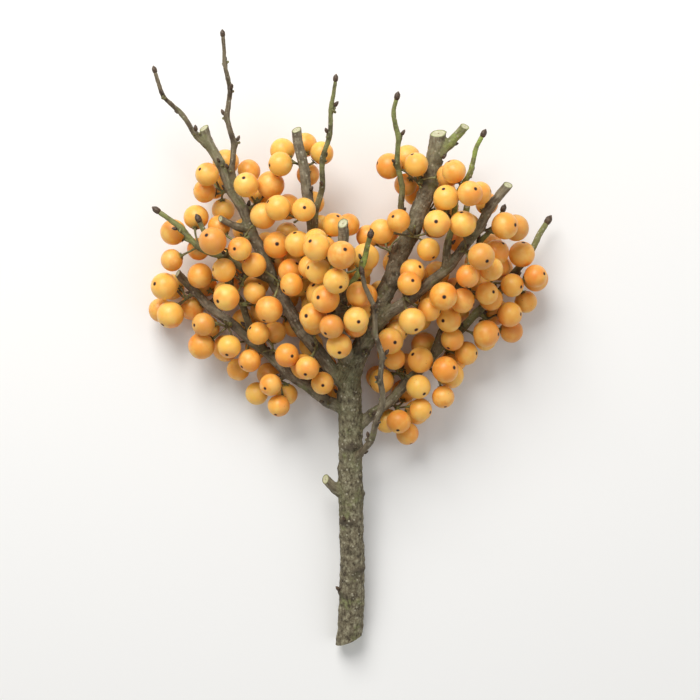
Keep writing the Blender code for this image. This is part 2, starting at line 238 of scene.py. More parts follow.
def grow_all(rng):
    """Every shoot of the branch by name, each rooted on its parent's centre line."""
    shoots = {}
    for stem in STEMS:
        if stem.parent is None:
            start = (0, 0, stem.radius[0] * math.cos(math.radians(stem.climb[0])))
        else:
            parent = shoots[stem.parent]
            place = stem.at / parent.stem.length * (len(parent.points) - 1)
            i = min(int(place), len(parent.points) - 2)
            start = between(parent.points[i : i + 2], place - i)
        shoots[stem.name] = grow(stem, start, rng)
    return shoots


def sides_for(radius):
    """More sides on thicker wood."""
    return next(sides for least, sides in SIDES_ABOVE if radius > least)


def outlines(shoot):
    """The corners round each ring of a shoot, the first one straight down. A knot pushes its side out,
    a cut end is slanted, with a tip's face turned up, and a living tip swells into a pointed bud."""
    last = len(shoot.points) - 1
    sides = sides_for(shoot.stem.radius[0])
    cut_ends = {last: (TIP_LIFT, TIP_SLANT)} if shoot.stem.tip == "cut" else {}
    if shoot.stem.parent is None:
        cut_ends[0] = (0, BUTT_SLANT)
    rings = []
    for i, (centre, radius, across) in enumerate(zip(shoot.points, shoot.radii, shoot.across)):
        along = unit(shoot.points[min(i + 1, last)] - shoot.points[max(i - 1, 0)])
        down = np.cross(along, across)
        lift, slant = cut_ends.get(i, (0, 0))
        knots = [knot for knot in shoot.knots if knot.ring == i]
        ring = []
        for k in range(sides):
            angle = 2 * math.pi * k / sides
            out = down * math.cos(angle) + across * math.sin(angle)
            push = sum(KNOT_HEIGHT * max(0, out @ knot.outward) ** 2 for knot in knots)
            shift = radius * (lift * math.cos(angle) + slant * math.sin(angle))
            ring.append(centre + out * (radius + push) + along * shift)
        rings.append(ring)
    if shoot.stem.tip == "bud":
        end, last_ring = shoot.points[last], np.array(rings[last])
        for reach, swell in BUD_RINGS:
            rings.append(end + along * reach * shoot.radii[last] + (last_ring - end) * swell)
    return rings


def pole_sway(rng):
    """How far a berry's far pole lies off the line of its stalk."""
    return np.array([rng.uniform(-1, 1) for _ in range(3)]) * POLE_SWAY


def hang_berries(shoots, rng):
    """Every berry before settling, the first of each bunch first: its bunch's number and rank in it,
    the knob that it hangs from, its centre, radius and the sway of its far pole. The bunches' names
    come too."""
    rows = []
    names = []
    for shoot in shoots.values():
        berried = [knot for knot in shoot.knots if knot.berried]
        for number, knot in enumerate(berried):
            i = knot.ring
            along = unit(shoot.points[i + 1] - shoot.points[i - 1])
            side = np.cross(along, knot.outward)
            reach = shoot.radii[i] + KNOT_HEIGHT + LEAST_GAP + KNOB_RADIUS
            knob = shoot.points[i] + knot.outward * reach
            count = rng.choice(BERRIES_IN_BUNCH)
            for rank in range(count):
                lean = math.radians(rng.uniform(*STALK_LEAN))
                turn = STALK_TURN * (rank + 1) * (1 if rank % 2 else -1)
                fan = math.radians(turn + rng.uniform(-FAN_SCATTER, FAN_SCATTER))
                out = knot.outward * math.cos(fan) + side * math.sin(fan)
                stalk = out * math.cos(lean) + along * math.sin(lean)
                radius = rng.uniform(*BERRY_RADIUS)
                sway = pole_sway(rng)
                centre = knob + stalk * (radius + rng.uniform(*STALK_LENGTH))
                rows.append((rank, len(names), knob, centre, radius, sway))
            names.append((f"berries_{shoot.stem.name}_{number + 1}", shoot.stem.name, shoot.points[i]))
    rows.sort(key=lambda row: row[:2])
    rank, bunch, knob, centre, radius, sway = (np.array(column) for column in zip(*rows))
    return names, rank, bunch, knob, centre, radius, sway


def nearest_on(points, start, end):
    """For each point and each line piece, the vector from the piece to the point, and how far along."""
    run = end - start
    share = ((points[:, None] - start) * run).sum(-1) / np.maximum((run * run).sum(-1), SMALL_SQUARE)
    share = np.clip(share, 0, 1)
    return points[:, None] - (start + share[..., None] * run), share


def off_pieces(points, pieces):
    """For each point and each round piece: the vector to the point, how far along, how thick there."""
    start, end, start_radius, end_radius = pieces
    away, share = nearest_on(points, start, end)
    return away, share, start_radius + (end_radius - start_radius) * share


def wood_pieces(shoots):
    """Both ends of every straight piece of the wood, and its radius at each with a knot's height."""
    shoots = shoots.values()
    starts = np.concatenate([shoot.points[:-1] for shoot in shoots])
    ends = np.concatenate([shoot.points[1:] for shoot in shoots])
    start_radii = np.concatenate([shoot.radii[:-1] for shoot in shoots]) + KNOT_HEIGHT
    end_radii = np.concatenate([shoot.radii[1:] for shoot in shoots]) + KNOT_HEIGHT
    return starts, ends, start_radii, end_radii


def poles_of(knob, centre, sway):
    """The unit vector from each berry's stalk end to its far pole."""
    poles = centre - knob
    poles = poles / lengths(poles)[:, None] + sway
    return poles / lengths(poles)[:, None]


def off_the_top(centre, radius, wood):
    """The level shift that takes each berry off the upper side of this wood."""
    start, end, *radii = wood
    flat = np.array((1, 1, 0))
    away, share, thick = off_pieces(centre * flat, (start * flat, end * flat, *radii))
    above = centre[:, 2, None] > start[:, 2] + (end[:, 2] - start[:, 2]) * share
    distance = np.maximum(lengths(away), SMALL)
    bite = (radius[:, None] + OPEN_SHARE * thick - distance) * above
    own, worst = np.arange(len(radius)), bite.argmax(1)
    return away[own, worst] * (np.maximum(bite[own, worst], 0) / distance[own, worst])[:, None]


def push_apart(gap, away):
    """The shift of each point for gaps that are too small, away from what it is too near."""
    distance = np.maximum(lengths(away), SMALL)
    bite = np.maximum(gap - distance, 0) / distance
    return (bite[..., None] * away).sum(1)


def settle(knob, centre, radius, sway, wood, open_wood):
    """Moves the berries apart, off the wood, off the open arms' upper side, off each other's stalks and
    up onto the surface, on stalks that stay within their lengths."""
    apart = radius[:, None] + radius + AIM_GAP
    own = np.arange(len(radius))
    apart[own, own] = 0
    for _ in range(SETTLE_ROUNDS):
        centre = centre + BERRY_PUSH * push_apart(apart, centre[:, None] - centre)
        away, _, thick = off_pieces(centre, wood)
        gap = radius[:, None] + thick + AIM_GAP - lengths(away)
        worst = gap.argmax(1)
        out = away[own, worst] / lengths(away[own, worst])[:, None]
        centre = centre + out * np.maximum(gap[own, worst], 0)[:, None]
        centre = centre + OPEN_PUSH * off_the_top(centre, radius, open_wood)
        foot = centre - poles_of(knob, centre, sway) * radius[:, None]
        away, share = nearest_on(centre, knob, foot)
        gap = radius[:, None] + between((KNOB_RADIUS, STALK_RADIUS), share) + AIM_GAP
        gap[own, own] = 0
        centre = centre + STALK_PUSH * push_apart(gap, away)
        stalk = centre - knob
        length = lengths(stalk)
        wanted = np.clip(length, radius + STALK_LENGTH[0], radius + STALK_LENGTH[1])
        centre = knob + stalk * (wanted / length)[:, None]
        centre[:, 2] = np.maximum(centre[:, 2], radius)
    return centre


def has_room(bunch, knob, centre, radius, foot, wood):
    """Which berries keep the least gap to the wood and each other. Of two that don't, the later goes."""
    stalks = np.stack([between((knob, foot), share) for share in np.linspace(0, 1, STALK_SAMPLES)], 1)
    kept = np.ones(len(radius), bool)
    probes = [(centre, radius)] + [(stalks[:, k], STALK_RADIUS) for k in range(STALK_SAMPLES)]
    for points, thickness in probes:
        away, _, thick = off_pieces(points, wood)
        clear = (lengths(away) - (thick - KNOT_HEIGHT)).min(1) - thickness
        kept &= clear > LEAST_GAP
    away, _, thick = off_pieces(knob, wood)
    kept &= (lengths(away) - thick).min(1) > KNOB_RADIUS + LEAST_KNOB_GAP
    for i in range(len(radius)):
        for j in np.flatnonzero(kept[:i]):
            clear = [np.linalg.norm(centre[i] - centre[j]) - radius[i] - radius[j]]
            clear.append(lengths(stalks[j] - centre[i]).min() - radius[i] - STALK_RADIUS)
            clear.append(lengths(stalks[i] - centre[j]).min() - radius[j] - STALK_RADIUS)
            if bunch[i] != bunch[j]:
                crossing = lengths(stalks[i][:, None] - stalks[j]).min()
                clear.append(crossing - KNOB_RADIUS - STALK_RADIUS)
            if min(clear) < LEAST_GAP:
                kept[i] = False
                break
    return kept


def lay_out():
    """The whole sprig: its shoots and its bunches, with the middle of its box over the origin."""
    rng = random.Random(SEED)
    shoots = grow_all(rng)
    names, rank, bunch, knob, centre, radius, sway = hang_berries(shoots, rng)
    wood = wood_pieces(shoots)
    open_wood = wood_pieces({name: shoots[name] for name in OPEN_STEMS})
    centre = settle(knob, centre, radius, sway, wood, open_wood)
    pole = poles_of(knob, centre, sway)
    foot = centre - pole * radius[:, None]
    kept = has_room(bunch, knob, centre, radius, foot, wood)
    corners = [ring for shoot in shoots.values() for ring in outlines(shoot)]
    corners += [(centre + side * radius[:, None])[kept] for side in (-1, 1)]
    corners = np.concatenate(corners)
    middle = (corners.min(0) + corners.max(0)) / 2 * (1, 1, 0)
    shoots = {name: shoot._replace(points=shoot.points - middle) for name, shoot in shoots.items()}
    bunches = []
    for number, (name, stem, root) in enumerate(names):
        members = [i for i in np.flatnonzero(bunch == number) if kept[i]]
        berries = [Berry(centre[i] - middle, radius[i], pole[i], foot[i] - middle) for i in members]
        if berries:
            bunches.append(Bunch(name, stem, root - middle, knob[members[0]] - middle, berries))
    return shoots, bunches


# The fine wood
FINE_STEPS = 8
FINE_SIDES = 18
PLACE_STRIDE = 4
PLACE_CHUNK = 3000
VOXEL = 0.00045
EVEN_FACTOR = 0.5
EVEN_ROUNDS = 3
TIP_SPARE = 0.0008
TIP_SPARE_SHARE = 0.7
BUTT_SPARE = 0.0045


def catmull(values, steps):
    """Values at the rings, smoothed through to steps between each two."""
    values = np.asarray(values, float)
    padded = np.concatenate([2 * values[:1] - values[1:2], values, 2 * values[-1:] - values[-2:-1]])
    out = []
    for i in range(1, len(padded) - 2):
        a, b, c, d = padded[i - 1 : i + 3]
        for k in range(steps):
            t = k / steps
            bends = (2 * a - 5 * b + 4 * c - d) * t**2 + (3 * b - a - 3 * c + d) * t**3
            out.append(0.5 * (2 * b + (c - a) * t + bends))
    out.append(padded[-2])
    return np.array(out)


def frames_along(points):
    """Tangent, sideways and downward unit vectors at each point of a line."""
    along = tangents(points)
    across = np.cross(along, (0, 0, 1))
    across /= lengths(across)[:, None]
    return along, across, np.cross(along, across)


Line = namedtuple("Line", "name stem points along across down radii reach")


def fine_line(shoot):
    """The smoothed centre line of a shoot with what is needed to wrap bark round it."""
    points = catmull(shoot.points, FINE_STEPS)
    radii = catmull(shoot.radii, FINE_STEPS)
    reach = np.concatenate([[0], np.cumsum(lengths(np.diff(points, axis=0)))])
    return Line(shoot.stem.name, shoot.stem, points, *frames_along(points), radii, reach)


def cut_planes(line):
    """Point, outward normal and radius of each cut end of a shoot."""
    planes = []
    if line.stem.tip == "cut":
        normal = line.along[-1] - TIP_LIFT * line.down[-1] - TIP_SLANT * line.across[-1]
        planes.append((line.points[-1], unit(normal), line.radii[-1]))
    if line.stem.parent is None:
        normal = BUTT_SLANT * line.across[0] - line.along[0]
        planes.append((line.points[0], unit(normal), line.radii[0]))
    return planes


def ring_of(bm, centre, radii, side, third):
    """New points round a centre, one for each radius, from side by way of third."""
    ring = []
    for k, radius in enumerate(radii):
        turn = 2 * math.pi * k / len(radii)
        out = side * math.cos(turn) + third * math.sin(turn)
        ring.append(bm.verts.new(centre + radius * out))
    return ring


def wrapped(bm, loops):
    """New faces from each loop of points to the next."""
    faces = []
    for low, high in zip(loops, loops[1:]):
        faces += [bm.faces.new((low[k - 1], low[k], high[k], high[k - 1])) for k in range(len(low))]
    return faces


def raw_tube(bm, line):
    """A closed round tube along a line, run on past its cut ends for the saw to trim."""
    points, radii = [*line.points], [*line.radii]
    across, down = [*line.across], [*line.down]
    if line.stem.tip == "cut":
        points.append(points[-1] + line.along[-1] * (TIP_SPARE + TIP_SPARE_SHARE * radii[-1]))
        radii, across, down = radii + radii[-1:], across + across[-1:], down + down[-1:]
    if line.stem.parent is None:
        points.insert(0, points[0] - line.along[0] * BUTT_SPARE)
        radii, across, down = radii[:1] + radii, across[:1] + across, down[:1] + down
    rings = zip(points, ([radius] * FINE_SIDES for radius in radii), down, across)
    loops = [ring_of(bm, *ring) for ring in rings]
    wrapped(bm, loops)
    bm.faces.new(loops[0][::-1])
    bm.faces.new(loops[-1])


def mesh_of(bm, name):
    """A mesh made of bm, which is freed."""
    mesh = bpy.data.meshes.new(name)
    bm.to_mesh(mesh)
    bm.free()
    return mesh


def added(name, data):
    """An object that shows data, in the scene."""
    obj = bpy.data.objects.new(name, data)
    bpy.context.scene.collection.objects.link(obj)
    return obj


def grown_together(lines):
    """One skin over all the tubes, by a fine voxel remesh."""
    bm = bmesh.new()
    for line in lines:
        raw_tube(bm, line)
    obj = added("raw_wood", mesh_of(bm, "raw_wood"))
    remesh = obj.modifiers.new("skin", "REMESH")
    remesh.mode = "VOXEL"
    remesh.voxel_size = VOXEL
    smooth = obj.modifiers.new("even", "SMOOTH")
    smooth.factor, smooth.iterations = EVEN_FACTOR, EVEN_ROUNDS
    graph = bpy.context.evaluated_depsgraph_get()
    made = bpy.data.meshes.new_from_object(obj.evaluated_get(graph))
    bpy.data.objects.remove(obj)
    return made


Place = namedtuple("Place", "line reach angle girth second out")


def at_ends(lines, column):
    """A column of the lines at the start and at the end of every straight piece that stands for them."""
    values = [getattr(line, column) for line in lines]
    starts = np.concatenate([value[:-1:PLACE_STRIDE] for value in values])
    return starts, np.concatenate([value[PLACE_STRIDE::PLACE_STRIDE] for value in values])


def places_on(points, lines):
    """For every point of the skin: the shoot that it belongs to, how far along and which way round it
    is, the shoot's radius there, how near the next shoot's bark is, and the way out."""
    pieces = (*at_ends(lines, "points"), *at_ends(lines, "radii"))
    first, last = at_ends(lines, "reach")
    across, down = at_ends(lines, "across")[0], at_ends(lines, "down")[0]
    owner = np.repeat(np.arange(len(lines)), [len(line.points) // PLACE_STRIDE for line in lines])
    columns = []
    for chunk in np.array_split(points, max(1, len(points) // PLACE_CHUNK)):
        away, share, girth = off_pieces(chunk, pieces)
        depth = lengths(away) - girth
        best = depth.argmin(1)
        rows = np.arange(len(chunk))
        other = np.where(owner[best][:, None] == owner[None], FAR, depth).min(1)
        out = away[rows, best]
        x = (out * across[best]).sum(1)
        y = (out * down[best]).sum(1)
        reach = first[best] + (last[best] - first[best]) * share[rows, best]
        outward = out / np.maximum(lengths(out)[:, None], SMALL)
        columns.append((owner[best], reach, np.arctan2(x, y), girth[rows, best], other, outward))
    return Place(*(np.concatenate(column) for column in zip(*columns)))


# Relief of the bark: its noise, heights, then the sizes of its features
NOISE_FALLOFF = 0.9
NOISE_SPACING = 2.0
RIDGE_HEIGHT = 0.00008
LUMP_HEIGHT = 0.00028
WART_HEIGHT = 0.00030
GRIT_HEIGHT = 0.00007
WRINKLE_HEIGHT = 0.00006
NODE_GRIT = 0.5
NODE_SPREAD = 0.0014
RIDGE_SIZE = 0.0011
RIDGE_STRETCH = 0.22
LUMP_SIZE = 0.0065
WART_SIZE = 0.0021
GRIT_SIZE = 0.0007
WRINKLE_SIZE = 0.00022
WRINKLE_BEND = 2.5
WRINKLED_LENGTH = 0.0045
CROTCH_SIZE = 0.0016
TRUNK_RADIUS = 0.0044
ROUGH_RADIUS = 0.0036
LEAST_ROUGH = 0.25
SHOOT_SHIFT = 0.31

# How green the young bark of a shoot is, and how the green comes up along it
FRESH_SHOOTS = {
    "high_right_twig": 1.0, "middle_twig": 1.0, "leader_stub": 0.7, "right_stub": 0.6,
    "leader_twig": 0.55, "right_twig": 0.5, "left_twig": 0.45, "inner_twig": 0.4,
    "low_left_twig": 0.35, "low_right_arm": 0.35,
}
YOUTH_GAIN = 2.2
YOUTH_LAG = 0.2


def rough(points, scale, octaves=3):
    """Fractal noise of about -1 to 1 at each point."""
    settings = NOISE_FALLOFF, NOISE_SPACING, octaves
    return np.array([noise.fractal(Vector(p), *settings) for p in points / scale])


def bark_relief(place, points, lines, shoots):
    """How far each point of the skin moves out, and the values that its colours are worked out from."""
    turn = np.stack([np.cos(place.angle) * place.girth, np.sin(place.angle) * place.girth], 1)
    grain = np.column_stack([turn, place.reach + SHOOT_SHIFT * place.line])
    thick = np.clip(place.girth / ROUGH_RADIUS, LEAST_ROUGH, 1)
    ridge = rough(grain * (1, 1, RIDGE_STRETCH), RIDGE_SIZE)
    lump, wart, grit = (rough(points, size, 2) for size in (LUMP_SIZE, WART_SIZE, GRIT_SIZE))
    root = np.where(place.line == 0, 0, np.exp(-place.reach / WRINKLED_LENGTH))
    wrinkle = np.sin(place.reach / WRINKLE_SIZE + WRINKLE_BEND * lump)
    height = thick * (RIDGE_HEIGHT * ridge + LUMP_HEIGHT * lump + WART_HEIGHT * wart)
    height += thick**0.5 * GRIT_HEIGHT * grit
    height += WRINKLE_HEIGHT * root * wrinkle
    node = np.zeros(len(points))
    for n, line in enumerate(lines):
        mine = np.flatnonzero(place.line == n)
        for knot in shoots[line.name].knots:
            near = (place.reach[mine] - line.reach[knot.ring * FINE_STEPS]) / NODE_SPREAD
            facing = np.maximum(place.out[mine] @ knot.outward, 0) ** 2
            node[mine] = np.maximum(node[mine], np.exp(-near * near) * facing)
    height += node * (KNOT_HEIGHT + NODE_GRIT * GRIT_HEIGHT * grit)
    share = place.reach / np.array([line.reach[-1] for line in lines])[place.line]
    fresh = np.array([FRESH_SHOOTS.get(line.name, 0) for line in lines])[place.line]
    youth = fresh * np.clip(YOUTH_GAIN * share - YOUTH_LAG, 0, 1)
    crotch = np.exp(-np.maximum(place.second, 0) / CROTCH_SIZE)
    facts = {"girth": place.girth / TRUNK_RADIUS, "youth": youth, "crotch": crotch, "node": node}
    return height, grain, facts


def make_branch(shoots):
    """The whole wood as one piece: skin, cut faces and buds."""
    lines = [fine_line(shoot) for shoot in shoots.values()]
    mesh = grown_together(lines)
    points = np.empty(len(mesh.vertices) * 3)
    mesh.vertices.foreach_get("co", points)
    points = points.reshape(-1, 3)
    place = places_on(points, lines)
    height, grain, facts = bark_relief(place, points, lines, shoots)
    mesh.vertices.foreach_set("co", (points + place.out * height[:, None]).ravel())
    facts.update(rim=np.zeros(len(points)), shoot=place.line)
    for name, values in facts.items():
        mesh.attributes.new(name, "FLOAT", "POINT").data.foreach_set("value", values.astype(np.float32))
    grain = grain.astype(np.float32).ravel()
    mesh.attributes.new("grain", "FLOAT_VECTOR", "POINT").data.foreach_set("vector", grain)
    bm = bmesh.new()
    bm.from_mesh(mesh)
    for n, line in enumerate(lines):
        for point, normal, radius in cut_planes(line):
            saw(bm, n, point, normal, radius)
    add_buds(bm, lines, shoots)
    bm.to_mesh(mesh)
    bm.free()
    mesh.name = "branch"
    show("branch", mesh, [bark_look(), cut_look(), bud_look()], ["woody_branch"])


# Cut faces: how far from one the saw reaches, in radii, and the bark's thickness round it
SAW_REACH = 2.2
CAP_BARK = 0.00022
SAW_SNAP = 1e-6
CAP_MATERIAL = 1
BUD_MATERIAL = 2


def saw(bm, number, point, normal, radius):
    """Cuts the spare end of one shoot off along a plane and closes it with a face of bare wood."""
    shoot = bm.verts.layers.float["shoot"]
    rim = bm.verts.layers.float["rim"]
    reach = SAW_REACH * radius + BUTT_SPARE
    spot = Vector(point)
    near = {v for v in bm.verts if abs(v[shoot] - number) < 0.5 and (v.co - spot).length < reach}
    faces = [f for f in bm.faces if all(v in near for v in f.verts)]
    edges = dict.fromkeys(e for f in faces for e in f.edges)
    verts = dict.fromkeys(v for f in faces for v in f.verts)
    cut = bmesh.ops.bisect_plane(
        bm, geom=[*verts, *edges, *faces], dist=SAW_SNAP,
        plane_co=spot, plane_no=Vector(normal), clear_outer=True,
    )["geom_cut"]
    ring = [e for e in cut if isinstance(e, bmesh.types.BMEdge)]
    cap = bmesh.ops.holes_fill(bm, edges=ring, sides=0)["faces"]
    for face in cap:
        for vert in face.verts:
            vert[rim] = 1
    bmesh.ops.inset_region(bm, faces=cap, thickness=CAP_BARK, use_even_offset=True)
    middle = bmesh.ops.poke(bm, faces=cap)
    for vert in middle["verts"]:
        vert[rim] = 0
    for face in middle["faces"]:
        face.material_index = CAP_MATERIAL
        face.smooth = False


# Buds: share of length and of width at each ring, then length and width, a tip bud's in its shoot's radii
BUD_PROFILE = (
    (0.0, 0.62), (0.14, 0.84), (0.32, 1.0), (0.5, 0.93), (0.68, 0.72), (0.84, 0.43), (0.95, 0.2)
)
BUD_SIDES = 12
SCALE_SWELL = 0.10
SCALE_TWIST = 9.0
TIP_BUD = (3.5, 1.28)
TIP_BUD_SUNK = 0.4
SIDE_BUD = (0.0019, 0.00062)
SIDE_BUD_SIZES = (0.8, 1.15)
SIDE_BUD_LEAN = 0.75
SIDE_BUD_SWAY = 0.15
SIDE_BUD_LIFT = 0.0008
SIDE_BUD_SEAT = 0.55
SIDE_BUD_TURN = 0.3
OLD_RADIUS = 0.0036
OLD_BARE = 0.5


def bud(bm, base, way, side, length, width):
    """A closed pointed bud of overlapping scales, standing on base."""
    way, side = unit(way), unit(side - way * (side @ unit(way)))
    third = np.cross(way, side)
    loops = []
    turns = [2 * math.pi * k / BUD_SIDES for k in range(BUD_SIDES)]
    for share, swell in BUD_PROFILE:
        scales = [1 + SCALE_SWELL * math.cos(2 * t + SCALE_TWIST * share) * (share > 0) for t in turns]
        radii = [width * swell * scale for scale in scales]
        loops.append(ring_of(bm, base + way * (share * length), radii, side, third))
    top = bm.verts.new(base + way * length)
    faces = [bm.faces.new(loops[0][::-1]), *wrapped(bm, loops)]
    faces += [bm.faces.new((loops[-1][k - 1], loops[-1][k], top)) for k in range(BUD_SIDES)]
    for face in faces:
        face.material_index = BUD_MATERIAL
        face.smooth = True


def add_buds(bm, lines, shoots):
    """A bud at the end of each living shoot, and a small one at each knot, fewer on thick wood."""
    rng = random.Random(SEED + 1)
    for line in lines:
        if line.stem.tip == "bud":
            radius = line.radii[-1]
            base = line.points[-1] - line.along[-1] * TIP_BUD_SUNK * radius
            bud(bm, base, line.along[-1], line.across[-1], TIP_BUD[0] * radius, TIP_BUD[1] * radius)
        for knot in shoots[line.name].knots:
            i = knot.ring * FINE_STEPS
            if line.radii[i] > OLD_RADIUS and rng.random() < OLD_BARE:
                continue
            surface = line.points[i] + knot.outward * (line.radii[i] + SIDE_BUD_SEAT * KNOT_HEIGHT)
            sway = line.across[i] * rng.uniform(-SIDE_BUD_SWAY, SIDE_BUD_SWAY)
            way = knot.outward * SIDE_BUD_LEAN + line.along[i] + sway
            size = rng.uniform(*SIDE_BUD_SIZES)
            base = surface + line.along[i] * SIDE_BUD_LIFT
            side = line.across[i] + SIDE_BUD_TURN * line.down[i]
            bud(bm, base, way, side, SIDE_BUD[0] * size, SIDE_BUD[1] * size)


# Berries that the solids leave out: tries for each bunch, and the most that a bunch takes
SPUR_PULL = 0.5
FILL_TRIES = 90
FILL_MOST = 3
FILL_STALK = (0.0016, 0.0070)
FILL_GAP = 0.0002
FILL_OVERLAP = 0.001
FILL_KNOT = 0.5
STALK_FREE_FROM = 0.35
ROD_FROM = 0.1
STALK_FREE_TO = 0.9


def way_out(rng, spur, pull):
    """A random unit vector, drawn towards spur."""
    return unit(unit(np.array([rng.gauss(0, 1) for _ in range(3)])) + spur * pull)


def clear_of(points, thickness, others, other_radii):
    """Whether balls of one thickness at points stay FILL_GAP clear of other balls."""
    return (lengths(points[:, None] - others) - other_radii).min() > thickness + FILL_GAP


def clear_of_wood(points, thickness, wood):
    """The same for the wood, where half of a knot's height is let go."""
    away, _, thick = off_pieces(points, wood)
    return (lengths(away) - (thick - FILL_KNOT * KNOT_HEIGHT)).min() > thickness + FILL_GAP


def stalk_points(knob, foot, low=STALK_FREE_FROM):
    """Points along a stalk, from a little off its knob to a little off its berry."""
    return between((knob, foot), np.linspace(low, STALK_FREE_TO, STALK_SAMPLES)[:, None])


def fill_in(shoots, bunches):
    """The bunches with more berries, at the same knobs, wherever one finds room."""
    rng = random.Random(SEED + 4)
    wood = wood_pieces(shoots)
    open_wood = wood_pieces({name: shoots[name] for name in OPEN_STEMS})
    balls = [(berry.centre, berry.radius) for bunch in bunches for berry in bunch.berries]
    rods = [stalk_points(bunch.knob, b.foot, ROD_FROM) for bunch in bunches for b in bunch.berries]
    low, high = np.array(CAD_BOX)
    filled = []
    for bunch in bunches:
        spur = unit(bunch.knob - bunch.root)
        berries = list(bunch.berries)
        for turn in range(FILL_TRIES):
            if len(berries) - len(bunch.berries) == FILL_MOST:
                break
            way = way_out(rng, spur, SPUR_PULL)
            radius = rng.uniform(*BERRY_RADIUS)
            centre = bunch.knob + way * (radius + between(FILL_STALK, turn / FILL_TRIES))
            pole = unit(way + pole_sway(rng))
            foot = centre - pole * radius
            centres, radii = (np.array(column) for column in zip(*balls))
            stalk = stalk_points(bunch.knob, foot)
            overlap = off_the_top(centre[None], np.array([radius]), open_wood)
            if (
                (centre - radius > low).all()
                and (centre + radius < high).all()
                and lengths(overlap)[0] < FILL_OVERLAP
                and clear_of(centre[None], radius, centres, radii)
                and clear_of_wood(centre[None], radius, wood)
                and clear_of(stalk, STALK_RADIUS, centres, radii)
                and clear_of_wood(stalk, STALK_RADIUS, wood)
                and clear_of(centre[None], radius, np.concatenate(rods), STALK_RADIUS)
            ):
                berries.append(Berry(centre, radius, pole, foot))
                balls.append((centre, radius))
                rods.append(stalk_points(bunch.knob, foot, ROD_FROM))
        filled.append(bunch._replace(berries=berries))
    return filled


# Berries: the angles of their rings from the far pole, and their dimples as shares of the radius
BERRY_SIDES = 30
BERRY_RINGS = (
    0.0, 0.035, 0.07, 0.1, 0.122, 0.135, 0.16, 0.2, 0.27, 0.38, 0.52, 0.68, 0.85, 1.03, 1.21, 1.39, 1.57,
    1.75, 1.93, 2.11, 2.28, 2.44, 2.59, 2.72, 2.83, 2.92, 3.0, 3.07,
)
BERRY_BODY = 0.992
BERRY_SQUASH = (0.955, 0.995)
SPIN = (0, 6.28)
SHIFT = (0, 50)
UNEVEN = ((1.3, 0.010), (4, 0.004))
SCAR_EDGE = 0.128
SCAR_RISE = 0.022
SCAR_ROUND = 1.2
SCAR_POINTS = 5
SCAR_POINT_RISE = 0.006
DIMPLE_DEPTH = 0.030
DIMPLE_WIDTH = 0.2
HOLLOW_DEPTH = 0.05
HOLLOW_WIDTH = 0.26

# Calyces: share of their size, and height over the skin, of each ring of points
CALYX_SIZE = 0.0013
CALYX_RINGS = ((0.42, 0.00024), (1.0, 0.00022), (1.0, 0.00006), (0.42, -0.0001))
CALYX_LOBES = (5, 5, 6)
LOBE_POINTS = 4
LOBE_MIDDLE = 0.68
LOBE_DEPTH = 0.32
CALYX_HUG = 0.93
CALYX_LIFT = 0.00022

# Stalks: thickness, swelling from end to end, and the bare ones
STALK_THICK = 0.00036
STALK_SWELL = (1.5, 1.15, 1.0, 0.95, 0.95, 0.95, 1.0, 1.2, 1.5)
STALK_BEND = 0.38
STALK_FAN = 0.6
STALK_END = 0.0002
STALK_SIDES = 8
DRY_SIDES = 7
HEEL_SIDES = 9
SKEW = (0.31, 0.17, 0.94)
HEEL_RADII = (0.0011, 0.0009, 0.0007, 0.00066, 0.0005)
BARE_STALK = (0.0022, 0.0042)
BARE_SWELL = (1.3, 1.0, 0.8, 0.75, 0.8, 1.25, 1.0)
BARE_PULL = 0.9
BARE_FAN = 0.5
BARE_TRIES = 12
BARE_IN_BUNCH = (0, 1, 1, 2)
STUMPS = (1, 2, 2, 3)
STUMP_LENGTH = (0.0007, 0.0015)
STUMP_SPREAD = 0.0006
STUMP_SUNK = 0.0002
STUMP_SWELL = (1.5, 1.15, 0.95, 1.3, 0.9)


def berry_profile(theta):
    """A berry's radius as a share of its size, by the angle from its far pole: a tiny raised scar in a
    shallow dimple there, and a hollow round the stalk."""
    scar = SCAR_RISE * (theta < SCAR_EDGE) * math.cos(theta / SCAR_EDGE * SCAR_ROUND)
    dimple = DIMPLE_DEPTH * math.exp(-((theta / DIMPLE_WIDTH) ** 2))
    hollow = HOLLOW_DEPTH * math.exp(-(((math.pi - theta) / HOLLOW_WIDTH) ** 2))
    return BERRY_BODY - dimple + scar - hollow


def sphere_way(lean, angle):
    """The unit vector that leans from +Z by lean, towards angle."""
    return Vector((math.sin(lean) * math.cos(angle), math.sin(lean) * math.sin(angle), math.cos(lean)))


